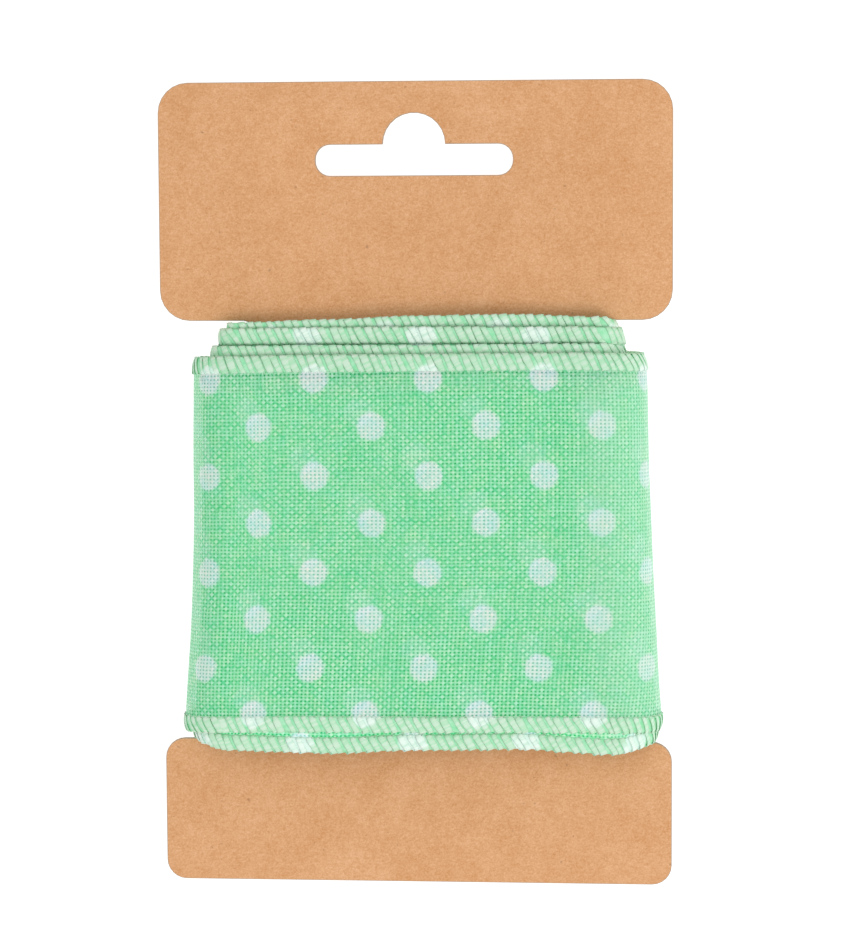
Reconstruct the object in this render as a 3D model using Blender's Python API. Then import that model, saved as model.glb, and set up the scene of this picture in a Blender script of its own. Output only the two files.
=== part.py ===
"""A card of wired ribbon, lying on its back.

A kraft board card has a hang slot in its header, and a notch cut in each side. One length of
hemmed ribbon is wound through the notches, round the card's waist. The ribbon's two edges are
rolled round a fine wire and overlocked, so each edge is a thick hem, and a hem is part of its cloth.

Units are metres. +X is the card's right, +Y runs up to the hang slot, and +Z is out of its face.
The origin is on the surface that the part lies on, below the middle of the card.
"""

from math import cos, pi, radians, sin

import bmesh
import bpy

MM = 0.001

# The card: kraft board, die cut
CARD_HALF_WIDTH = 42.5 * MM
CARD_HALF_HEIGHT = 66.75 * MM
CARD_THICKNESS = 0.8 * MM
HEADER_BOTTOM_Y = 27.45 * MM
FOOT_TOP_Y = -42.7 * MM
WAIST_HALF_WIDTH = 27.0 * MM
HEADER_CORNER_RADIUS = 5.0 * MM
FOOT_CORNER_RADIUS = 3.3 * MM
WAIST_CORNER_RADIUS = 1.5 * MM
CORNER_STEPS = 6

# The hang slot: a long slot with a round hump for a single hook
SLOT_HALF_LENGTH = 16.3 * MM
SLOT_BOTTOM_Y = 51.3 * MM
SLOT_TOP_Y = 56.4 * MM
SLOT_END_RADIUS = 2.4 * MM
HUMP_RADIUS = 5.15 * MM
# an odd number of steps leaves one small flat at the top of the hump, where a hook bears
HUMP_STEPS = 13

# The ribbon: open weave cloth with a rolled hem along both edges
RIBBON_WIDTH = 62.8 * MM
WEB_THICKNESS = 1.0 * MM
HEM_THICKNESS = 1.3 * MM
HEM_HEIGHT = 2.3 * MM
HEM_SLOPE = 0.6 * MM
HEM_ROUNDING = 0.4 * MM
# The open weave between the hems is divided here, so that it can follow the flare of the bends
WEB_DIVISIONS = (0.3, 0.55, 0.78)
LAYER_PITCH = 1.5 * MM
LAYER_CLEARANCE = 0.3 * MM

# The flat runs end here at the ribbon's top edge, and a round bend follows
RUN_HALF_LENGTH = 29.2 * MM
# Each bend stands further out towards the ribbon's bottom edge: on the right it leans all the way
# down, and both of them curl outwards over the last part of the width
LEFT_LEAN = 0.0 * MM
LEFT_CURL = 2.3 * MM
LEFT_CURL_POWER = 2.5
RIGHT_LEAN = 2.0 * MM
RIGHT_CURL = 0.9 * MM
RIGHT_CURL_POWER = 6.0
# The front run stands a little proud of flat, most of it right of the middle
FRONT_CROWN = 0.5 * MM
FRONT_CROWN_SHIFT = 0.15

# Both ends of the ribbon lie on the back
INNER_END_X = 12.0 * MM
TAIL_END_X = -20.0 * MM

# One row for each turn, from the card outwards: where the middle of the ribbon's width lies
# at the left bend, along the front and at the right bend, in millimetres up from the card's middle
TURNS = (
    # left, front, right
    (-4.4, -2.9, -4.4),
    (-5.6, -5.4, -5.3),
    (-7.9, -7.7, -7.5),
    (-10.9, -12.0, -10.9),
    (-9.4, -9.2, -8.8),
)

BEND_STEPS = 9
FRONT_STEPS = 8
BACK_STEPS = 2
# The ribbon drifts sideways over this share of the front run, next to each bend
DRIFT_SHARE = 0.22

FIRST_LAYER = CARD_THICKNESS / 2 + LAYER_CLEARANCE + HEM_THICKNESS / 2
LAST_LAYER = FIRST_LAYER + len(TURNS) * LAYER_PITCH
CARD_Z = LAST_LAYER + HEM_THICKNESS / 2


def clear_objects():
    """Remove whatever the scene holds."""
    for old in list(bpy.data.objects):
        bpy.data.objects.remove(old, do_unlink=True)


def principled(name, colour, roughness):
    """A plain finish in the part's own colour."""
    material = bpy.data.materials.new(name)
    material.use_nodes = True
    shader = material.node_tree.nodes["Principled BSDF"]
    shader.inputs["Base Color"].default_value = (*colour, 1.0)
    shader.inputs["Roughness"].default_value = roughness
    shader.inputs["Metallic"].default_value = 0.0
    return material


def arc(centre_x, centre_y, radius, start, end, steps):
    """Points along an arc, from the start angle to the end angle in degrees."""
    points = []
    for step in range(steps + 1):
        angle = radians(start + (end - start) * step / steps)
        points.append((centre_x + radius * cos(angle), centre_y + radius * sin(angle)))
    return points


def mirrored(right_half):
    """Close an outline whose right half is given, from the bottom to the top."""
    left_half = [(-x, y) for x, y in reversed(right_half) if x > 1e-7]
    return right_half + left_half


def card_outline():
    """The die line: foot, waist and header, with every corner rounded."""
    foot = FOOT_CORNER_RADIUS
    head = HEADER_CORNER_RADIUS
    waist = WAIST_CORNER_RADIUS
    right = CARD_HALF_WIDTH
    notch = WAIST_HALF_WIDTH + waist
    half = []
    half += arc(right - foot, -CARD_HALF_HEIGHT + foot, foot, -90, 0, CORNER_STEPS)
    half += arc(right - foot, FOOT_TOP_Y - foot, foot, 0, 90, CORNER_STEPS)
    half += arc(notch, FOOT_TOP_Y + waist, waist, 270, 180, CORNER_STEPS // 2)
    half += arc(notch, HEADER_BOTTOM_Y - waist, waist, 180, 90, CORNER_STEPS // 2)
    half += arc(right - head, HEADER_BOTTOM_Y + head, head, -90, 0, CORNER_STEPS)
    half += arc(right - head, CARD_HALF_HEIGHT - head, head, 0, 90, CORNER_STEPS)
    return mirrored(half)


def slot_outline():
    """The hang slot: a bar with rounded ends, and the hump in the middle of its top edge."""
    end = SLOT_END_RADIUS
    end_x = SLOT_HALF_LENGTH - end
    half = []
    half += arc(end_x, SLOT_BOTTOM_Y + end, end, -90, 0, CORNER_STEPS)
    half += arc(end_x, SLOT_TOP_Y - end, end, 0, 90, CORNER_STEPS)
    hump = arc(0.0, SLOT_TOP_Y, HUMP_RADIUS, 0, 180, HUMP_STEPS)
    half += [point for point in hump if point[0] > 0.0]
    return mirrored(half)


def plate(name, outline, low_z, high_z):
    """A flat plate with the given outline, as one closed mesh."""
    shape = bmesh.new()
    corners = [shape.verts.new((x, y, low_z)) for x, y in outline]
    underside = shape.faces.new(corners)
    raised = bmesh.ops.extrude_face_region(shape, geom=[underside])
    top_corners = [item for item in raised["geom"] if isinstance(item, bmesh.types.BMVert)]
    bmesh.ops.translate(shape, verts=top_corners, vec=(0.0, 0.0, high_z - low_z))
    bmesh.ops.recalc_face_normals(shape, faces=shape.faces)
    mesh = bpy.data.meshes.new(name)
    shape.to_mesh(mesh)
    shape.free()
    item = bpy.data.objects.new(name, mesh)
    bpy.context.scene.collection.objects.link(item)
    return item


def make_card():
    """The card, with the hang slot cut through its header."""
    half = CARD_THICKNESS / 2
    card = plate("card", card_outline(), CARD_Z - half, CARD_Z + half)
    card.data.materials.append(principled("kraft_board", (0.70, 0.39, 0.18), 0.85))
    cutter = plate("slot_cutter", slot_outline(), CARD_Z - 3 * half, CARD_Z + 3 * half)
    cutter.hide_render = True
    cutter.display_type = "WIRE"
    cut = card.modifiers.new("hang_slot", "BOOLEAN")
    cut.operation = "DIFFERENCE"
    cut.solver = "EXACT"
    cut.object = cutter
    return card


def ease(share):
    """A smooth step from 0 to 1."""
    share = min(max(share, 0.0), 1.0)
    return share * share * (3.0 - 2.0 * share)


def front_middle(turn, share):
    """The middle of the ribbon's width, in metres, at a share of the way along a front run."""
    left, front, right = TURNS[turn]
    if share < 0.5:
        height = left + (front - left) * ease(share / DRIFT_SHARE)
    else:
        height = right + (front - right) * ease((1.0 - share) / DRIFT_SHARE)
    return height * MM


def crown(share):
    """How far a front run stands proud of flat, the same for every turn."""
    wave = sin(pi * share)
    return FRONT_CROWN * wave * wave * (1.0 - FRONT_CROWN_SHIFT * cos(pi * share))


def ribbon_path():
    """The stations along the ribbon, each as the run or bend it is on and its place there.

    A station is (end, share, layer, angle, middle, proud). End is -1 at the left bend, 1 at the
    right bend and 0 on a run. Share goes from 0 at the left to 1 at the right. Layer is the
    distance from the card's middle plane, and angle turns from 90 on the front to -90 on the back.
    """
    stations = []
    first_left = TURNS[0][0] * MM
    inner_share = 0.5 + INNER_END_X / (2 * RUN_HALF_LENGTH)
    stations.append((0, inner_share, FIRST_LAYER, -90.0, first_left, 0.0))
    for turn, (left, _, right) in enumerate(TURNS):
        layer = FIRST_LAYER + turn * LAYER_PITCH
        for step in range(BEND_STEPS):
            angle = -90.0 - 180.0 * step / BEND_STEPS
            stations.append((-1, 0.0, layer, angle, left * MM, 0.0))
        for step in range(FRONT_STEPS):
            share = step / FRONT_STEPS
            stations.append((0, share, layer, 90.0, front_middle(turn, share), crown(share)))
        for step in range(BEND_STEPS):
            share = step / BEND_STEPS
            stations.append((1, 1.0, layer + LAYER_PITCH * ease(share), 90.0 - 180.0 * share, right * MM, 0.0))
        layer += LAYER_PITCH
        if turn + 1 < len(TURNS):
            next_left = TURNS[turn + 1][0]
            for step in range(BACK_STEPS):
                share = step / BACK_STEPS
                middle = (right + (next_left - right) * share) * MM
                stations.append((0, 1.0 - share, layer, -90.0, middle, 0.0))
    last_right = TURNS[-1][2] * MM
    tail_share = 0.5 + TAIL_END_X / (2 * RUN_HALF_LENGTH)
    stations.append((0, 1.0, layer, -90.0, last_right, 0.0))
    stations.append((0, tail_share, layer, -90.0, last_right, 0.0))
    return stations


def ribbon_section():
    """The closed cross-section, as (distance down from the top edge, distance off the middle).

    It runs from the outer face over the top hem to the inner face, and back over the bottom hem.
    """
    web = WEB_THICKNESS / 2
    hem = HEM_THICKNESS / 2
    hem_face = [
        (HEM_HEIGHT + HEM_SLOPE, web),
        (HEM_HEIGHT, hem),
        (HEM_ROUNDING, hem),
        (HEM_ROUNDING / 4, hem / 2),
    ]
    top_hem = hem_face + [(inset, -off) for inset, off in reversed(hem_face)]
    bottom_hem = [(RIBBON_WIDTH - inset, -off) for inset, off in top_hem]
    between = [RIBBON_WIDTH * share for share in WEB_DIVISIONS]
    inner_face = [(down, -web) for down in between]
    outer_face = [(down, web) for down in reversed(between)]
    return top_hem + inner_face + bottom_hem + outer_face


def place(station, down, off):
    """A point of the cross-section at a station, in the part's frame."""
    end, share, layer, angle, middle, proud = station
    width_share = down / RIBBON_WIDTH
    left_flare = LEFT_LEAN * width_share + LEFT_CURL * width_share ** LEFT_CURL_POWER
    right_flare = RIGHT_LEAN * width_share + RIGHT_CURL * width_share ** RIGHT_CURL_POWER
    left_x = -RUN_HALF_LENGTH - left_flare
    right_x = RUN_HALF_LENGTH + right_flare
    y = middle + RIBBON_WIDTH / 2 - down
    reach = layer + off
    turn = radians(angle)
    if end < 0:
        return (left_x + reach * cos(turn), y, CARD_Z + reach * sin(turn))
    if end > 0:
        return (right_x + reach * cos(turn), y, CARD_Z + reach * sin(turn))
    x = left_x + (right_x - left_x) * share
    return (x, y, CARD_Z + reach * sin(turn) + proud)


def make_ribbon():
    """The whole length of ribbon, wound as one open spiral."""
    section = ribbon_section()
    stations = ribbon_path()
    flat_back = len(stations) - 2
    shape = bmesh.new()
    rings = []
    for index, station in enumerate(stations):
        ring = []
        for down, off in section:
            # the outermost layer lies flat on the surface below, hems and cloth alike
            if index >= flat_back and off > 0 and HEM_HEIGHT < down < RIBBON_WIDTH - HEM_HEIGHT:
                off = HEM_THICKNESS / 2
            ring.append(shape.verts.new(place(station, down, off)))
        rings.append(ring)
    count = len(section)
    for ring, after in zip(rings, rings[1:]):
        for corner in range(count):
            beside = (corner + 1) % count
            shape.faces.new((ring[corner], ring[beside], after[beside], after[corner]))
    shape.faces.new(rings[0])
    shape.faces.new(rings[-1])
    bmesh.ops.recalc_face_normals(shape, faces=shape.faces)
    mesh = bpy.data.meshes.new("ribbon")
    shape.to_mesh(mesh)
    shape.free()
    mesh.shade_smooth()
    mesh.set_sharp_from_angle(angle=radians(35))
    ribbon = bpy.data.objects.new("ribbon", mesh)
    bpy.context.scene.collection.objects.link(ribbon)
    ribbon.data.materials.append(principled("ribbon_cloth", (0.21, 0.74, 0.36), 0.8))
    return ribbon


clear_objects()
make_card()
make_ribbon()
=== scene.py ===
"""The looks of a card of wired ribbon: a kraft card, and one length of dotted ribbon wound round it.

Everything is in metres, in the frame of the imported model. +X is the card's right, +Y runs up to its
hang slot, and +Z is out of its face. The sections follow the thing as it is put together: the die-cut
card, the cloth wound round it, the wired hems, and the thread that is sewn over them.
"""

import random
from math import cos, pi, radians, sin

import bpy
import numpy as np
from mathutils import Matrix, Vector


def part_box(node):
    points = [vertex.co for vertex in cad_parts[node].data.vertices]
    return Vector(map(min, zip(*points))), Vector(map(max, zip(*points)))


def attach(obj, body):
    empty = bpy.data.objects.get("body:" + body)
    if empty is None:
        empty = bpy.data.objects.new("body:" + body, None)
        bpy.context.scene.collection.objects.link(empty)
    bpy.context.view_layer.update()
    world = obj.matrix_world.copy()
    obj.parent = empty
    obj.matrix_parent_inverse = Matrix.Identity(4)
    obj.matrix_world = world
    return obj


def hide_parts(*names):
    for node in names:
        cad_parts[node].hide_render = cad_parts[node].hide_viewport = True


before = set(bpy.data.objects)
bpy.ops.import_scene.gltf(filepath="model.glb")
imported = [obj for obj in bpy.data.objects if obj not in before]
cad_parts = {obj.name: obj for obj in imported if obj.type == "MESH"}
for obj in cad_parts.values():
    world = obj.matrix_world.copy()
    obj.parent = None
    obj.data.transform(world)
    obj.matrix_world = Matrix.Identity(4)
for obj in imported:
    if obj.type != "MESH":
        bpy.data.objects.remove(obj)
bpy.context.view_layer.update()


# The card: one plate of uncoated kraft board, die cut with a hang slot and a notch in each side.
# The die crushes the board along every cut, so its edges are a little round.
mm = 0.001
edge_rounding = 0.22 * mm
merge_distance = 0.001 * mm
flat_angle = radians(0.5)
card_node = bpy.data.objects["card"]

bpy.ops.object.select_all(action="DESELECT")
card = card_node.copy()
card.data = card_node.data.copy()
card.name = "kraft_card"
card.data.name = "kraft_card"
for label in [key for key in card.keys() if key.startswith("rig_")]:
    del card[label]
bpy.context.scene.collection.objects.link(card)
card.select_set(True)
bpy.context.view_layer.objects.active = card
bpy.ops.object.mode_set(mode="EDIT")
bpy.ops.mesh.select_all(action="SELECT")
bpy.ops.mesh.remove_doubles(threshold=merge_distance)
bpy.ops.mesh.dissolve_limited(angle_limit=flat_angle)
bpy.ops.object.mode_set(mode="OBJECT")
crush = card.modifiers.new("crushed_edge", "BEVEL")
crush.width = edge_rounding
crush.segments = 3
crush.limit_method = "ANGLE"
crush.angle_limit = radians(50)
crush.harden_normals = False
bpy.ops.object.modifier_apply(modifier=crush.name)
card.data.shade_smooth()
card.data.set_sharp_from_angle(angle=radians(40))


def linear(hex_colour):
    """An sRGB hex colour, such as "DAA575", as linear red, green, blue and alpha."""
    channels = [int(hex_colour[at:at + 2], 16) / 255 for at in (0, 2, 4)]
    return [c / 12.92 if c <= 0.04045 else ((c + 0.055) / 1.055) ** 2.4 for c in channels] + [1.0]


def add(tree, kind, inputs=None, **settings):
    """Add a node, set its properties, and set or link its inputs."""
    made = tree.nodes.new("ShaderNode" + kind)
    for name, value in settings.items():
        setattr(made, name, value)
    for key, value in (inputs or {}).items():
        if isinstance(value, bpy.types.NodeSocket):
            tree.links.new(value, made.inputs[key])
        else:
            made.inputs[key].default_value = value
    return made


def finish(name):
    """A new material: its tree, and its Principled shader."""
    material = bpy.data.materials.new(name)
    material.use_nodes = True
    return material, material.node_tree, material.node_tree.nodes["Principled BSDF"]


# Kraft board is unbleached pulp: matt, with fibres that lie in clouds of warmer and yellower brown,
# fine grain, and here and there a darker speck of bark
kraft, tree, shader = finish("uncoated_kraft_board")
place = add(tree, "TexCoord").outputs["Object"]
cloud = add(tree, "TexNoise", {"Vector": place, "Scale": 480.0, "Detail": 4.0, "Roughness": 0.55})
grain = add(tree, "TexNoise", {"Vector": place, "Scale": 4200.0, "Detail": 2.0, "Roughness": 0.6})
stretched = add(tree, "Mapping", {"Vector": place, "Scale": (900.0, 2600.0, 900.0)})
fibre = add(tree, "TexNoise", {
    "Vector": stretched.outputs[0], "Scale": 1.0, "Detail": 2.0, "Distortion": 0.6,
})
specks = add(tree, "TexNoise", {"Vector": place, "Scale": 1100.0, "Detail": 1.0})
broad = add(tree, "TexNoise", {"Vector": place, "Scale": 130.0, "Detail": 1.0})
# How much each of them shows, from the finest to the broadest, about a middle of one half
pulp_shares = ((grain, 1.5), (fibre, 0.5), (cloud, 0.4), (broad, 0.35))
pulp = 0.5 - sum(gain for _, gain in pulp_shares) / 2
for noise, gain in pulp_shares:
    pulp = add(tree, "Math", {0: noise.outputs["Fac"], 1: gain, 2: pulp}, operation="MULTIPLY_ADD").outputs[0]
hue = add(tree, "ValToRGB", {"Fac": pulp})
hue.color_ramp.elements[0].position = 0.0
hue.color_ramp.elements[0].color = linear("C8884E")
hue.color_ramp.elements[1].position = 1.0
hue.color_ramp.elements[1].color = linear("EBB98D")
bark = add(tree, "MapRange", {
    "Value": specks.outputs["Fac"], "From Min": 0.74, "From Max": 0.80, "To Min": 1.0, "To Max": 0.72,
})
toned = add(tree, "VectorMath", {0: hue.outputs["Color"], "Scale": bark.outputs[0]}, operation="SCALE")
tree.links.new(toned.outputs[0], shader.inputs["Base Color"])
shader.inputs["Roughness"].default_value = 0.88
relief = add(tree, "Bump", {"Height": pulp, "Strength": 0.05, "Distance": 0.02 * mm})
tree.links.new(relief.outputs[0], shader.inputs["Normal"])
card.data.materials.clear()
card.data.materials.append(kraft)

# The faces along every cut get a greyer and a little darker colour, which draws a thin line round
# the card and its slot
cut_edge_grey, tree, shader = finish("grey_cut_edge")
shader.inputs["Base Color"].default_value = linear("AE9782")
shader.inputs["Roughness"].default_value = 0.9
card.data.materials.append(cut_edge_grey)
flat_enough = 0.99
for face in card.data.polygons:
    face.material_index = int(abs(face.normal.z) < flat_enough)
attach(card, "root")
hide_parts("card")


# The winding: one length of ribbon goes five times round the card's waist. It starts on the back,
# runs left to right along the front, and ends on the back, where the outermost layer lies flat.
card_low, card_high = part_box("card")
card_z = (card_low[2] + card_high[2]) / 2
ribbon_width = 62.8 * mm
first_layer = 1.35 * mm
layer_pitch = 1.5 * mm
run_half_length = 29.2 * mm
inner_end_x = 12.0 * mm
tail_end_x = -20.0 * mm
front_crown = 0.5 * mm
crown_shift = 0.15

# One row for each turn, from the card outwards. The first seven columns are the height of the
# middle of the ribbon's width, in millimetres, at places from the left bend's tip to the right
# bend's. The next is how much longer the turn is at its right bend. The last three are where the
# print's rows of dots start, along the ribbon and across it, and how far the cloth is pulled askew
# at the ribbon's lower edge.
turns = (
    # tip, left, quarter, middle, three quarters, right, tip, longer, dots along, dots across, askew
    (-4.4, -4.0, -3.55, -2.95, -2.75, -3.20, -4.0, 1.5, 4.0, 7.2, 0.0),
    (-5.2, -5.0, -4.85, -4.75, -4.80, -4.80, -5.1, 0.9, 10.4, 5.6, 0.0),
    (-8.0, -7.85, -7.70, -7.70, -7.60, -7.50, -7.6, -0.3, 2.0, 2.0, 0.0),
    (-11.2, -12.75, -13.05, -12.35, -12.05, -12.85, -11.3, 0.9, 9.5, 1.9, 1.3),
    (-9.90, -9.47, -9.23, -9.14, -8.99, -8.97, -9.3, 0.1, 2.6, 0.0, 1.8),
)
dot_pitch_along = 18.85 * mm
dot_pitch_across = 15.9 * mm
first_dots_down = 4.0 * mm
station_step = 1.4 * mm
# By this share of a run along the back, the print and the hems have passed to the next turn's places
passing_share = 0.6


def ease(share):
    """A smooth step from 0 to 1."""
    share = min(max(share, 0.0), 1.0)
    return share * share * (3.0 - 2.0 * share)


def front_height(heights, share):
    """The middle of the ribbon's width along a front run, eased from column to column."""
    spans = len(heights) - 1
    span = min(int(share * spans), spans - 1)
    local = ease(share * spans - span)
    return (heights[span] + (heights[span + 1] - heights[span]) * local) * mm


def crown(share):
    """How far a front run stands proud of flat."""
    wave = sin(pi * share)
    return front_crown * wave * wave * (1.0 - crown_shift * cos(pi * share))


def wound_path():
    """The ribbon's middle line, row by row.

    A row is the share along a run, the reach from the card's middle plane, the angle round a bend,
    the height, how proud of flat it stands, the turn, and how much longer the turn is.
    """
    rows = []
    run_steps = round(2 * run_half_length / station_step)
    inner_share = 0.5 + inner_end_x / (2 * run_half_length)
    inner_steps = round(run_steps * inner_share)
    for step in range(inner_steps):
        share = inner_share * (1.0 - step / inner_steps)
        rows.append((share, first_layer, -90.0, turns[0][0] * mm, 0.0, 0.0, turns[0][7] * mm))
    for turn, row in enumerate(turns):
        left_tip, right_tip, heights = row[0] * mm, row[6] * mm, row[1:6]
        reach = first_layer + turn * layer_pitch
        bend_steps = max(12, round(pi * reach / station_step))
        spin = -360.0 * turn
        longer = row[7] * mm
        for step in range(bend_steps):
            share = step / bend_steps
            height = left_tip + (heights[0] * mm - left_tip) * ease(2.0 * share - 1.0)
            rows.append((0.0, reach, spin - 90.0 - 180.0 * share, height, 0.0, turn, longer))
        for step in range(run_steps):
            share = step / run_steps
            height = front_height(heights, share)
            rows.append((share, reach, spin - 270.0, height, crown(share), turn, longer))
        for step in range(bend_steps):
            share = step / bend_steps
            height = right_tip + (heights[-1] * mm - right_tip) * ease(1.0 - 2.0 * share)
            grown = reach + layer_pitch * ease(share)
            rows.append((1.0, grown, spin - 270.0 - 180.0 * share, height, 0.0, turn, longer))
        last = turn + 1 == len(turns)
        end_share = 0.5 + tail_end_x / (2 * run_half_length) if last else 0.0
        next_tip = right_tip if last else turns[turn + 1][0] * mm
        next_longer = longer if last else turns[turn + 1][7] * mm
        back_steps = round(run_steps * (1.0 - end_share))
        for step in range(back_steps + last):
            along = step / back_steps
            share = 1.0 + (end_share - 1.0) * along
            height = right_tip + (next_tip - right_tip) * along
            passed = turn if last else turn + ease(along / passing_share)
            stretch = longer + (next_longer - longer) * along
            rows.append((share, reach + layer_pitch, spin - 450.0, height, 0.0, passed, stretch))
    return np.array(rows)


path_share, path_reach, path_angle, path_height, path_proud, path_turn, path_longer = wound_path().T
left_belly = 0.44 * mm
right_belly = 0.80 * mm
belly_start = 3.5 * mm
upper_lifts = (2.3, 1.6, 0.6, 0.0, -1.2)
lower_lifts = (0.0, 0.0, 0.0, -1.9, -1.8)
upper_lift_width = 14.0 * mm
lower_lift_width = 11.0 * mm
left_slack = 0.8 * mm
slack_share = 0.12
left_spread, left_spread_power = 2.3 * mm, 2.5
right_spread = 2.0 * mm
right_flare, right_flare_power = 0.9 * mm, 6
askew_power = 2.6
# Where the painted highlight on each run's right end starts, and how far its ramp reaches, as shares of the
# run
painted_highlight_start, painted_highlight_width = 0.90, 0.14


def run_ends(down):
    """Where the bends start, left and right, at distances down from the ribbon's top edge.

    The winding is wider at its lower edge, on both sides.
    """
    width_share = np.clip(down / ribbon_width, 0.0, 1.0)
    left_x = -run_half_length - left_spread * width_share ** left_spread_power
    right_x = run_half_length + right_spread * width_share + right_flare * width_share ** right_flare_power
    return left_x, right_x


def belly(angle, down):
    """How far a bend's cloth stands out between its stiff hems."""
    sideways = np.cos(np.radians(angle))
    most = np.where(sideways > 0, right_belly, left_belly)
    inside = np.clip(np.minimum(down, ribbon_width - down) / belly_start, 0.0, 1.0)
    return most * np.abs(sideways) * inside * inside * (3 - 2 * inside)


def edge_lift(turn, angle, down):
    """How far the ribbon's edges stand out from its middle along the front.

    The hems are thick and lie side by side, so the inner turns' upper hems are pushed out, and the
    outer turns' hems sag towards the card.
    """
    upper = np.interp(turn, range(len(turns)), upper_lifts) * mm
    lower = np.interp(turn, range(len(turns)), lower_lifts) * mm
    near_upper = np.clip(1.0 - down / upper_lift_width, 0.0, 1.0) ** 2
    near_lower = np.clip(1.0 - (ribbon_width - down) / lower_lift_width, 0.0, 1.0) ** 2
    facing = np.clip(np.sin(np.radians(angle)), 0.0, 1.0) ** 2
    return (upper * near_upper + lower * near_lower) * facing


def spot(share, reach, angle, height, proud, longer, down, off):
    """Points at distances down from the ribbon's top edge and off its middle surface."""
    left_x, right_x = run_ends(down)
    turn = np.radians(angle)
    out = reach + off + belly(angle, down)
    x = left_x + (right_x + longer - left_x) * share + out * np.cos(turn)
    y = height + ribbon_width / 2 - down
    z = card_z + out * np.sin(turn) + proud
    return np.stack(np.broadcast_arrays(x, y, z), axis=-1)


middle_line = spot(
    path_share, path_reach, path_angle, path_height, path_proud, path_longer, ribbon_width / 2, 0.0,
)
steps_along = np.linalg.norm(np.diff(middle_line, axis=0), axis=1)
path_along = np.concatenate([[0.0], np.cumsum(steps_along)])
ribbon_length = float(path_along[-1])


def front_middle_along(turn):
    """How far along the ribbon the middle of a turn's front run is."""
    on_front = (path_turn == turn) & (np.abs(path_angle + 360.0 * turn + 270.0) < 1e-6)
    return float(path_along[on_front][np.argmin(np.abs(path_share[on_front] - 0.5))])


def print_starts():
    """Where the dots' pattern starts on each turn, along and across.

    Each start is moved by whole repeats, to lie as near as it can to the start on the turn before.
    """
    along, across = [], []
    for turn, row in enumerate(turns):
        start = front_middle_along(turn) + row[8] * mm
        if along:
            start -= round((start - along[-1]) / dot_pitch_along) * dot_pitch_along
        along.append(start)
        across.append(row[9] * mm)
    return along, across


starts_along, starts_across = print_starts()
path_dots_along = np.interp(path_turn, range(len(turns)), starts_along)
path_dots_across = np.interp(path_turn, range(len(turns)), starts_across)
path_askew = np.interp(path_turn, range(len(turns)), [row[10] * mm for row in turns])


def on_ribbon(along, down, off):
    """Points on the wound ribbon, their places in the cloth and in the print, and how much painted highlight
    they get.

    The cloth isn't stretched where the winding is wider, so its threads and dots keep their pitch.
    """
    along, down, off = np.broadcast_arrays(along, down, off)
    share, reach, angle, height, proud, longer, dots_along, dots_across, askew = (
        np.interp(along, path_along, column)
        for column in (path_share, path_reach, path_angle, path_height, path_proud, path_longer,
                       path_dots_along, path_dots_across, path_askew)
    )
    turn = np.interp(along, path_along, path_turn)
    lift = edge_lift(turn, angle, down)
    points = spot(share, reach, angle, height, proud, longer, down, off + lift)
    outermost = np.clip(turn - (len(turns) - 2), 0.0, 1.0)
    # Painted highlight: the right end of each run and its right bend, not the back, are painted paler, as
    # where light from the right falls on the bend
    painted_highlight = np.clip((share - painted_highlight_start) / painted_highlight_width, 0.0, 1.0) * (np.sin(np.radians(angle)) > -0.5)
    left_x, right_x = run_ends(down)
    left_middle, right_middle = run_ends(ribbon_width / 2)
    wider = (right_x - left_x) - (right_middle - left_middle)
    width_share = np.clip(down / ribbon_width, 0.0, 1.0)
    slack = left_slack * np.clip(1.0 - share / slack_share, 0.0, 1.0) ** 2
    unstretched = along + (share - 0.5) * wider + askew * width_share ** askew_power - slack
    return points, {
        "cloth": np.stack([unstretched, down], axis=-1),
        "dots": np.stack([unstretched - dots_along, down - dots_across], axis=-1),
        "layer": np.stack([outermost, painted_highlight * painted_highlight], axis=-1),
    }


def woven_mesh(name, points, maps, tube):
    """A strip or a closed tube from rows of points, with a UV map for each item of maps."""
    rows, across = points.shape[:2]
    index = np.arange(rows * across).reshape(rows, across)
    beside = np.roll(index, -1, axis=1) if tube else index[:, 1:]
    index_here = index if tube else index[:, :-1]
    walls = np.stack([index_here[:-1], beside[:-1], beside[1:], index_here[1:]], axis=-1)
    faces = walls.reshape(-1, 4).tolist()
    if tube:
        faces += [index[0][::-1].tolist(), index[-1].tolist()]
    mesh = bpy.data.meshes.new(name)
    mesh.from_pydata(points.reshape(-1, 3).tolist(), [], faces)
    corners = np.empty(len(mesh.loops), dtype=np.int64)
    mesh.loops.foreach_get("vertex_index", corners)
    for label, places in maps.items():
        layer = mesh.uv_layers.new(name=label)
        layer.uv.foreach_set("vector", places.reshape(-1, 2)[corners].astype(np.float32).ravel())
    mesh.shade_smooth()
    item = bpy.data.objects.new(name, mesh)
    bpy.context.scene.collection.objects.link(item)
    return item


# The cloth between the hems: sheer polyester in plain weave, printed with white dots. Its threads
# stand apart, so that the layer below shows through the holes. Its edges lie inside the hems.
cloth_inset = 1.3 * mm
columns_across = 40
slow_wave = 0.16 * mm
quick_wave = 0.07 * mm


def waves(along, down):
    """The cloth's own unevenness: soft low waves, still at the hems."""
    inside = np.sin(np.pi * np.clip(down / ribbon_width, 0.0, 1.0))
    slow = np.sin(along / (11.0 * mm) + 1.3) * np.sin(down / (9.0 * mm) + along / (40.0 * mm))
    quick = np.sin(along / (5.2 * mm) - down / (8.0 * mm)) * np.sin(down / (6.1 * mm) + 2.0)
    return inside * (slow_wave * slow + quick_wave * quick)


sheet_down = np.linspace(cloth_inset, ribbon_width - cloth_inset, columns_across)[None, :]
sheet_along = path_along[:, None]
sheet_off = waves(sheet_along, sheet_down)
cloth = woven_mesh("ribbon_cloth", *on_ribbon(sheet_along, sheet_down, sheet_off), tube=False)

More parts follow.
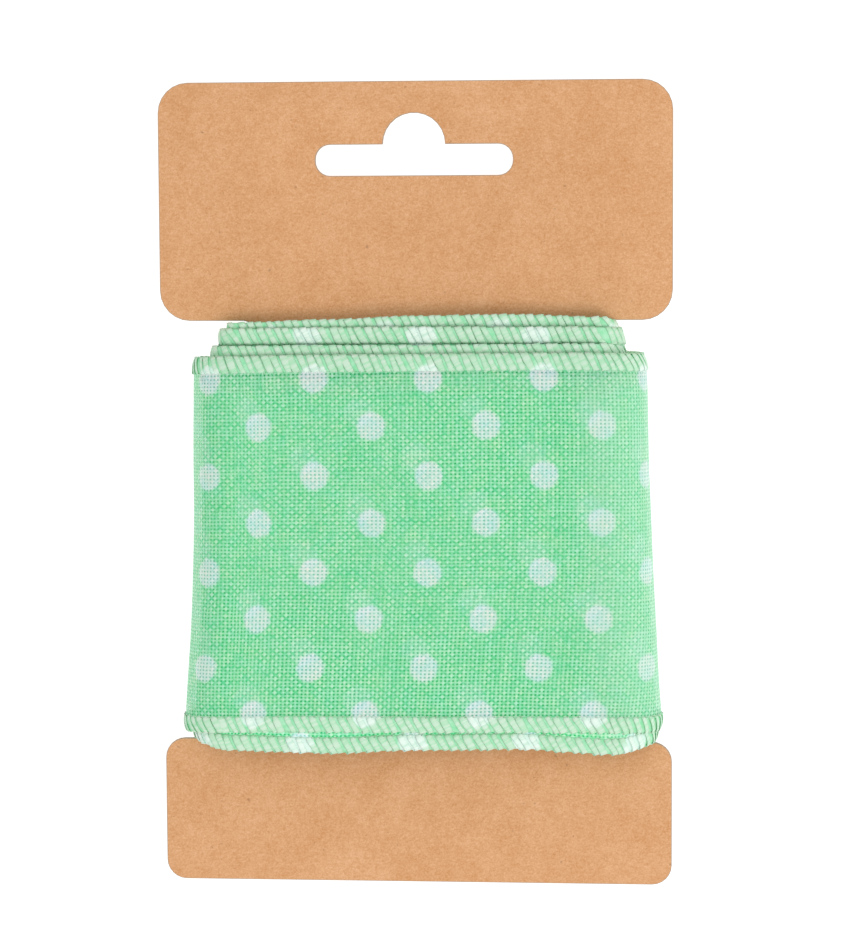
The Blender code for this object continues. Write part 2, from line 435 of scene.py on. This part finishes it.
# The map that the cloth is baked on. The outermost turn, which is the one that is seen, gets most of
# it, as two rows. The turns inside it share the rest, as four upright strips.
# Each box is left, right, bottom and top.
strip_boxes = [(0.665 + 0.084 * strip, 0.733 + 0.084 * strip, 0.01, 0.99) for strip in range(4)]
row_boxes = [(0.01, 0.64, 0.01, 0.475), (0.01, 0.64, 0.505, 0.97)]
last_row = len(path_along) - 1
outer_row = int(np.argmax(path_turn >= len(turns) - 1))
strip_ends = np.linspace(0, outer_row, len(strip_boxes) + 1).round().astype(int)
row_ends = np.linspace(outer_row, last_row, len(row_boxes) + 1).round().astype(int)


def bake_places(first, last, box, upright):
    """Where the corners of the cloth's faces lie in a box of the map, from one row to another."""
    left, right, low, high = box
    rows = np.arange(first, last)[:, None] + np.array([0, 0, 1, 1])
    columns = np.arange(columns_across - 1)[:, None] + np.array([0, 1, 1, 0])
    along = (path_along[rows] - path_along[first]) / (path_along[last] - path_along[first])
    along, across = np.broadcast_arrays(along[:, None, :], columns[None, :, :] / (columns_across - 1))
    over, up = (across, along) if upright else (along, 1.0 - across)
    return np.stack([left + (right - left) * over, low + (high - low) * up], axis=-1).reshape(-1, 2)


baked = [bake_places(*ends, box, True) for *ends, box in zip(strip_ends, strip_ends[1:], strip_boxes)]
baked += [bake_places(*ends, box, False) for *ends, box in zip(row_ends, row_ends[1:], row_boxes)]
bake_layer = cloth.data.uv_layers.new(name="OFBake")
bake_layer.uv.foreach_set("vector", np.concatenate(baked).astype(np.float32).ravel())


thread_pitch_along = 0.68 * mm
thread_pitch_across = 0.588 * mm
thread_alpha = 0.70
hole_alpha = 0.50
dot_radius = 2.30 * mm
dot_softness = 0.28 * mm
dot_raggedness = 0.7 * mm
second_dots = (0.5, 0.488)


def dot_print(tree):
    """How much of a white dot is at each place, from the print's own map."""
    print_map = add(tree, "UVMap", uv_map="dots").outputs[0]
    spots = add(tree, "SeparateXYZ", {0: print_map})
    lifted = add(tree, "Math", {0: spots.outputs[1], 1: first_dots_down}, operation="SUBTRACT")
    reaches = []
    for shift_along, shift_across in ((0.0, 0.0), second_dots):
        parts = []
        for value, pitch, shift in (
            (spots.outputs[0], dot_pitch_along, shift_along),
            (lifted.outputs[0], dot_pitch_across, shift_across),
        ):
            moved = add(tree, "Math", {0: value, 1: shift * pitch}, operation="SUBTRACT")
            wrapped = add(tree, "Math", {0: moved.outputs[0], 1: pitch / 2, 2: -pitch / 2}, operation="WRAP")
            parts.append(wrapped)
        pair = add(tree, "CombineXYZ", {0: parts[0].outputs[0], 1: parts[1].outputs[0]})
        reaches.append(add(tree, "VectorMath", {0: pair.outputs[0]}, operation="LENGTH").outputs["Value"])
    nearest = add(tree, "Math", {0: reaches[0], 1: reaches[1]}, operation="MINIMUM")
    blot = add(tree, "TexNoise", {"Vector": print_map, "Scale": 700.0, "Detail": 2.0})
    ragged = add(tree, "Math", {
        0: blot.outputs["Fac"], 1: dot_raggedness, 2: -dot_raggedness / 2,
    }, operation="MULTIPLY_ADD")
    nearest = add(tree, "Math", {0: nearest.outputs[0], 1: ragged.outputs[0]}, operation="ADD")
    mask = add(tree, "MapRange", {
        "Value": nearest.outputs[0],
        "From Min": dot_radius + dot_softness, "From Max": dot_radius - dot_softness,
    })
    return mask.outputs[0]


woven, tree, shader = finish("sheer_plain_weave_polyester")
places = add(tree, "UVMap", uv_map="cloth").outputs[0]
wander = add(tree, "TexNoise", {"Vector": places, "Scale": 170.0, "Detail": 2.0})
wander = add(tree, "VectorMath", {0: wander.outputs["Color"], 1: (0.5, 0.5, 0.5)}, operation="SUBTRACT")
wander = add(tree, "VectorMath", {0: wander.outputs[0], "Scale": 0.5}, operation="SCALE")
counted = add(tree, "VectorMath", {
    0: places, 1: (1 / thread_pitch_along, 1 / thread_pitch_across, 0.0),
}, operation="MULTIPLY")
counted = add(tree, "VectorMath", {0: counted.outputs[0], 1: wander.outputs[0]}, operation="ADD")
counts = add(tree, "SeparateXYZ", {0: counted.outputs[0]})
profiles = []
halves = []
for axis in (0, 1):
    turned = add(tree, "Math", {0: counts.outputs[axis], 1: 2 * pi}, operation="MULTIPLY")
    profiles.append(add(tree, "Math", {0: turned.outputs[0]}, operation="COSINE").outputs[0])
    turned = add(tree, "Math", {0: counts.outputs[axis], 1: pi}, operation="MULTIPLY")
    halves.append(add(tree, "Math", {0: turned.outputs[0]}, operation="COSINE").outputs[0])
gaps = [
    add(tree, "MapRange", {"Value": profile, "From Min": 0.05, "From Max": -0.35}).outputs[0]
    for profile in profiles
]
hole = add(tree, "Math", {0: gaps[0], 1: gaps[1]}, operation="MULTIPLY")
over = add(tree, "Math", {0: halves[0], 1: halves[1]}, operation="MULTIPLY")
rounded = add(tree, "Math", {0: profiles[0], 1: profiles[1]}, operation="ADD")
hole_cell = add(tree, "VectorMath", {0: counted.outputs[0]}, operation="FLOOR")
hole_luck = add(tree, "TexWhiteNoise", {"Vector": hole_cell.outputs[0]}, noise_dimensions="2D")
hole_size = add(tree, "Math", {0: hole_luck.outputs["Value"], 1: 0.75, 2: 0.55}, operation="MULTIPLY_ADD")
hole = add(tree, "Math", {
    0: hole.outputs[0], 1: hole_size.outputs[0],
}, operation="MULTIPLY", use_clamp=True)
crossing_cell = add(tree, "VectorMath", {0: counted.outputs[0], 1: (0.5, 0.5, 0.5)}, operation="ADD")
crossing_cell = add(tree, "VectorMath", {0: crossing_cell.outputs[0]}, operation="FLOOR")
crossing_luck = add(tree, "TexWhiteNoise", {"Vector": crossing_cell.outputs[0]}, noise_dimensions="2D")
white = dot_print(tree)
slubs = []
for stretch in ((90.0, 1700.0, 1.0), (1470.0, 90.0, 1.0)):
    drawn = add(tree, "Mapping", {"Vector": places, "Scale": stretch}).outputs[0]
    slubs.append(add(tree, "TexNoise", {"Vector": drawn, "Scale": 1.0, "Detail": 2.0}).outputs["Fac"])
weft_or_warp = add(tree, "MapRange", {"Value": over.outputs[0], "From Min": -0.3, "From Max": 0.3})
slub = add(tree, "Mix", {0: weft_or_warp.outputs[0], 2: slubs[0], 3: slubs[1]}, data_type="FLOAT")
# Painted highlight and shade on the weave: crossings where one set of threads lies on top are lighter, the
# other set's darker, and threads darker towards the holes; slubs and a random step per crossing add the
# threads' own uneven tone
shade = add(tree, "Math", {0: over.outputs[0], 1: 0.24, 2: 0.50}, operation="MULTIPLY_ADD")
shade = add(tree, "Math", {0: rounded.outputs[0], 1: 0.13, 2: shade.outputs[0]}, operation="MULTIPLY_ADD")
uneven = add(tree, "MapRange", {
    "Value": slub.outputs[0], "From Min": 0.3, "From Max": 0.7, "To Min": -0.25, "To Max": 0.25,
})
shade = add(tree, "Math", {0: shade.outputs[0], 1: uneven.outputs[0]}, operation="ADD")
luck = add(tree, "Math", {0: crossing_luck.outputs["Value"], 1: 0.36, 2: -0.18}, operation="MULTIPLY_ADD")
shade = add(tree, "Math", {0: shade.outputs[0], 1: luck.outputs[0]}, operation="ADD")
green = add(tree, "ValToRGB", {"Fac": shade.outputs[0]})
green.color_ramp.elements[0].position = 0.0
green.color_ramp.elements[0].color = linear("4ADC90")
green.color_ramp.elements[1].position = 1.0
green.color_ramp.elements[1].color = linear("CBFFDC")
ink = add(tree, "ValToRGB", {"Fac": shade.outputs[0]})
ink.color_ramp.elements[0].position = 0.0
ink.color_ramp.elements[0].color = linear("CDF1EE")
ink.color_ramp.elements[1].position = 1.0
ink.color_ramp.elements[1].color = linear("FAFFFF")
# The holes are half filled with loose fibres, painted a darker, more saturated green and in the dots a greyer
# white, as painted shade of the layer seen through them
fibres_and_painted_hole_shade = add(tree, "Mix", {0: white, 6: linear("1CC66E"), 7: linear("9AD6CA")}, data_type="RGBA")
printed = add(tree, "Mix", {0: white, 6: green.outputs["Color"], 7: ink.outputs["Color"]}, data_type="RGBA")
printed = add(tree, "Mix", {0: hole.outputs[0], 6: printed.outputs[2], 7: fibres_and_painted_hole_shade.outputs[2]}, data_type="RGBA")
dye = add(tree, "TexNoise", {"Vector": places, "Scale": 380.0, "Detail": 2.0})
tint = add(tree, "Mix", {
    0: dye.outputs["Fac"], 6: (0.72, 0.98, 1.06, 1.0), 7: (1.28, 1.02, 0.94, 1.0),
}, data_type="RGBA")
tinted = add(tree, "VectorMath", {0: printed.outputs[2], 1: tint.outputs[2]}, operation="MULTIPLY")
layer = add(tree, "SeparateXYZ", {0: add(tree, "UVMap", uv_map="layer").outputs[0]})
# Painted highlight: the right end of each turn's front and its right bend are mixed towards a pale
# green-white
painted_highlight_share = add(tree, "Math", {0: layer.outputs[1], 1: 0.45}, operation="MULTIPLY")
painted_highlight = add(tree, "Mix", {
    0: painted_highlight_share.outputs[0], 6: tinted.outputs[0], 7: linear("CFF3DE"),
}, data_type="RGBA")
tree.links.new(painted_highlight.outputs[2], shader.inputs["Base Color"])
solid = add(tree, "Math", {
    0: hole.outputs[0], 1: hole_alpha - thread_alpha, 2: thread_alpha,
}, operation="MULTIPLY_ADD")
solid = add(tree, "Mix", {0: layer.outputs[0], 2: 1.0, 3: solid.outputs[0]}, data_type="FLOAT")
tree.links.new(solid.outputs[0], shader.inputs["Alpha"])
shader.inputs["Roughness"].default_value = 0.62
shader.inputs["Sheen Weight"].default_value = 0.15
height = add(tree, "Math", {0: over.outputs[0], 1: rounded.outputs[0]}, operation="ADD")
relief = add(tree, "Bump", {"Height": height.outputs[0], "Strength": 0.3, "Distance": 0.08 * mm})
tree.links.new(relief.outputs[0], shader.inputs["Normal"])
cloth.data.materials.append(woven)


# The hems: each edge of the cloth is rolled over a fine steel wire, into a bead that is thickest
# at the wire and thins to the line where the sewing ends. The same cloth, closed up and denser.
hem_height = 2.85 * mm
hem_inset = 0.15 * mm
bead_half_thickness = 0.44 * mm
bead_taper = 0.35
bead_sides = 12


def hem_ring(side, sides):
    """One ring round a hem: distances from the ribbon's top edge, and off its middle surface.

    The ring starts at the outer edge and goes over the front. Side is 1 for the top hem, and -1
    for the bottom one.
    """
    angles = 2 * pi * np.arange(sides) / sides
    across = 0.5 - 0.5 * np.cos(angles)
    inset = hem_inset + across * (hem_height - hem_inset)
    off = bead_half_thickness * (1.0 - bead_taper * across) * np.sin(angles)
    if side > 0:
        return inset, off
    return ribbon_width - inset, -off


hem_names = {1: "top", -1: "bottom"}
beads = []
for side, label in hem_names.items():
    down, off = hem_ring(side, bead_sides)
    ring = on_ribbon(path_along[:, None], down[None, :], off[None, :])
    beads.append(woven_mesh("wired_hem_" + label, *ring, tube=True))

rolled, tree, shader = finish("rolled_polyester_hem")
places = add(tree, "UVMap", uv_map="cloth").outputs[0]
crease = add(tree, "TexNoise", {"Vector": places, "Scale": 900.0, "Detail": 3.0})
green = add(tree, "ValToRGB", {"Fac": crease.outputs["Fac"]})
green.color_ramp.elements[0].position = 0.3
green.color_ramp.elements[0].color = linear("88E1A8")
green.color_ramp.elements[1].position = 0.7
green.color_ramp.elements[1].color = linear("B6ECC6")
white = dot_print(tree)
printed = add(tree, "Mix", {0: white, 6: green.outputs["Color"], 7: linear("DCF6EA")}, data_type="RGBA")
tree.links.new(printed.outputs[2], shader.inputs["Base Color"])
shader.inputs["Roughness"].default_value = 0.7
relief = add(tree, "Bump", {"Height": crease.outputs["Fac"], "Strength": 0.4, "Distance": 0.1 * mm})
tree.links.new(relief.outputs[0], shader.inputs["Normal"])
for bead in beads:
    bead.data.materials.append(rolled)


# The overlock: a fluffy pale thread sewn round and round each hem. The stitches come in pairs, they
# slant down to the right along both edges, and the dots are printed over them.
thread_half_width = 0.61 * mm
thread_half_thickness = 0.105 * mm
thread_rise = 0.4
thread_sides = 8
steps_a_stitch = 14
fluff_steps = 5
fluff_range = (0.66, 1.22)
front_slant = {1: 1.45 * mm, -1: -1.15 * mm}
stitch_pitch = {1: 1.52 * mm, -1: 1.47 * mm}
pair_shift = 0.09
jitter = 0.19
ply_pitch = 0.85 * mm
end_margin = 1.0 * mm
least_margin = 0.2 * mm
stitch_random = random.Random(7)


def stitches(side):
    """The thread's middle line: distances along, down and off."""
    pitch = stitch_pitch[side]
    count = int((ribbon_length - 2 * end_margin) / pitch)
    shifts = []
    for stitch in range(count + 1):
        paired = pair_shift if stitch % 2 else -pair_shift
        shifts.append(paired + stitch_random.uniform(-jitter, jitter))
    turn = np.arange(count * steps_a_stitch + 1) / steps_a_stitch
    start = np.interp(turn, range(count + 1), np.arange(count + 1) + np.array(shifts))
    angle = 2 * pi * (turn % 1.0)
    across = 0.5 - 0.5 * np.cos(angle)
    inset = thread_half_thickness + across * (hem_height - thread_half_thickness)
    bead_off = bead_half_thickness * (1.0 - bead_taper * across)
    off = (bead_off + thread_rise * thread_half_thickness) * np.sin(angle)
    # Over the front the thread slants, and on the back it makes up the rest of the pitch
    leaning = front_slant[side] / pitch - 0.5
    slanted = start + leaning * across - leaning / 2
    along = np.clip(end_margin + slanted * pitch, least_margin, ribbon_length - least_margin)
    if side > 0:
        return along, inset, off
    return along, ribbon_width - inset, off


def thread_mesh(name, side):
    """The thread as a flattened tube, wound round its hem, with its flat side on the hem."""
    along, down, off = stitches(side)
    points, maps = on_ribbon(along, down, off)
    hem_middle = hem_height / 2 if side > 0 else ribbon_width - hem_height / 2
    flatness = (2 * bead_half_thickness / hem_height) ** 2
    inner, _ = on_ribbon(along, down + (hem_middle - down) * flatness, 0.0)
    ahead = np.gradient(points, axis=0)
    length = np.cumsum(np.linalg.norm(ahead, axis=1))
    ahead /= np.linalg.norm(ahead, axis=1, keepdims=True)
    outward = points - inner
    outward -= (outward * ahead).sum(axis=1, keepdims=True) * ahead
    outward /= np.linalg.norm(outward, axis=1, keepdims=True)
    aside = np.cross(outward, ahead)
    angles = 2 * pi * np.arange(thread_sides) / thread_sides
    fluff_count = 2 + len(points) // fluff_steps
    fluff = np.array([stitch_random.uniform(*fluff_range) for _ in range(fluff_count)])
    fluff = np.interp(np.arange(len(points)) / fluff_steps, range(len(fluff)), fluff)
    half_width = thread_half_width * fluff[:, None, None] * np.cos(angles)[None, :, None]
    half_thickness = thread_half_thickness * fluff[:, None, None] * np.sin(angles)[None, :, None]
    rings = points[:, None, :] + half_width * aside[:, None, :] + half_thickness * outward[:, None, :]
    maps = {label: np.repeat(places[:, None, :], thread_sides, axis=1) for label, places in maps.items()}
    aside_share = np.broadcast_to(np.cos(angles), rings.shape[:2])
    maps["ply"] = np.stack([np.broadcast_to(length[:, None], rings.shape[:2]), aside_share], axis=-1)
    return woven_mesh(name, rings, maps, tube=True)


threads = [thread_mesh("overlock_" + label, side) for side, label in hem_names.items()]

fluffy, tree, shader = finish("textured_overlock_thread")
places = add(tree, "UVMap", uv_map="cloth").outputs[0]
strands = add(tree, "TexNoise", {"Vector": places, "Scale": 1900.0, "Detail": 2.0})
# Twisted plies, drawn as lines that cross the thread askew, and the thread's sides darker and greener:
# partly loose fibres that thin out there over the hem, partly painted shade where the thread curves down
ply = add(tree, "SeparateXYZ", {0: add(tree, "UVMap", uv_map="ply").outputs[0]})
twist = add(tree, "Math", {0: ply.outputs[0], 1: 2 * pi / ply_pitch}, operation="MULTIPLY")
twist = add(tree, "Math", {0: ply.outputs[1], 1: 2.2, 2: twist.outputs[0]}, operation="MULTIPLY_ADD")
twist = add(tree, "Math", {0: twist.outputs[0]}, operation="SINE")
side = add(tree, "Math", {0: ply.outputs[1], 1: ply.outputs[1]}, operation="MULTIPLY")
rough = add(tree, "MapRange", {
    "Value": strands.outputs["Fac"], "From Min": 0.3, "From Max": 0.7, "To Min": 0.2, "To Max": 0.8,
})
lit = add(tree, "Math", {0: side.outputs[0], 1: -0.20, 2: rough.outputs[0]}, operation="MULTIPLY_ADD")
lit = add(tree, "Math", {0: twist.outputs[0], 1: 0.025, 2: lit.outputs[0]}, operation="MULTIPLY_ADD")
pale = add(tree, "ValToRGB", {"Fac": lit.outputs[0]})
pale.color_ramp.elements[0].position = 0.22
pale.color_ramp.elements[0].color = linear("ACE2B9")
pale.color_ramp.elements[1].position = 0.62
pale.color_ramp.elements[1].color = linear("CCE8D0")
inked = add(tree, "ValToRGB", {"Fac": lit.outputs[0]})
inked.color_ramp.elements[0].position = 0.22
inked.color_ramp.elements[0].color = linear("CBEBD8")
inked.color_ramp.elements[1].position = 0.55
inked.color_ramp.elements[1].color = linear("E6F8EC")
white = dot_print(tree)
printed = add(tree, "Mix", {0: white, 6: pale.outputs["Color"], 7: inked.outputs["Color"]}, data_type="RGBA")
tree.links.new(printed.outputs[2], shader.inputs["Base Color"])
shader.inputs["Roughness"].default_value = 0.75
shader.inputs["Sheen Weight"].default_value = 0.25
for thread in threads:
    thread.data.materials.append(fluffy)

for piece in [cloth, *beads, *threads]:
    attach(piece, "root")
    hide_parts("ribbon")


# The floor, the light and the camera: a white table under soft light from all round, a little
# stronger from the right, seen from nearly straight above as the photo is.
bpy.ops.mesh.primitive_plane_add(size=3.0, location=(0.0, 0.0, 0.0))
floor = bpy.context.active_object
floor.name = "floor"
table, tree, shader = finish("white_table")
shader.inputs["Base Color"].default_value = (0.3, 0.3, 0.3, 1.0)
shader.inputs["Roughness"].default_value = 0.9
shader.inputs["Emission Color"].default_value = (1.0, 1.0, 1.0, 1.0)
shader.inputs["Emission Strength"].default_value = 0.9
floor.data.materials.append(table)

world = bpy.context.scene.world or bpy.data.worlds.new("soft_room")
bpy.context.scene.world = world
world.use_nodes = True
world.node_tree.nodes["Background"].inputs["Color"].default_value = (1.0, 1.0, 1.0, 1.0)
world.node_tree.nodes["Background"].inputs["Strength"].default_value = 0.77

lamp_data = bpy.data.lights.new("softbox", "AREA")
lamp_data.shape = "RECTANGLE"
lamp_data.size = 1.4
lamp_data.size_y = 1.0
lamp_data.energy = 15.6
lamp = bpy.data.objects.new("softbox", lamp_data)
lamp.location = (1.0, -0.62, 1.78)
lamp.rotation_euler = (radians(17.0), radians(29.3), 0.0)
bpy.context.scene.collection.objects.link(lamp)

# The camera's distance and turn come from the four corners of the card in the photo
photo_width_px = 863
focal_px = 2951.2
sensor_width_mm = 36.0
camera_data = bpy.data.cameras.new("camera")
camera_data.sensor_fit = "HORIZONTAL"
camera_data.sensor_width = sensor_width_mm
camera_data.lens = focal_px / photo_width_px * sensor_width_mm
camera = bpy.data.objects.new("camera", camera_data)
camera.location = (43.30 * mm, 45.18 * mm, 495.82 * mm)
camera.rotation_euler = (radians(-5.1244), radians(4.7559), radians(-0.2972))
bpy.context.scene.collection.objects.link(camera)
bpy.context.scene.camera = camera
bpy.context.scene.view_settings.view_transform = "Standard"
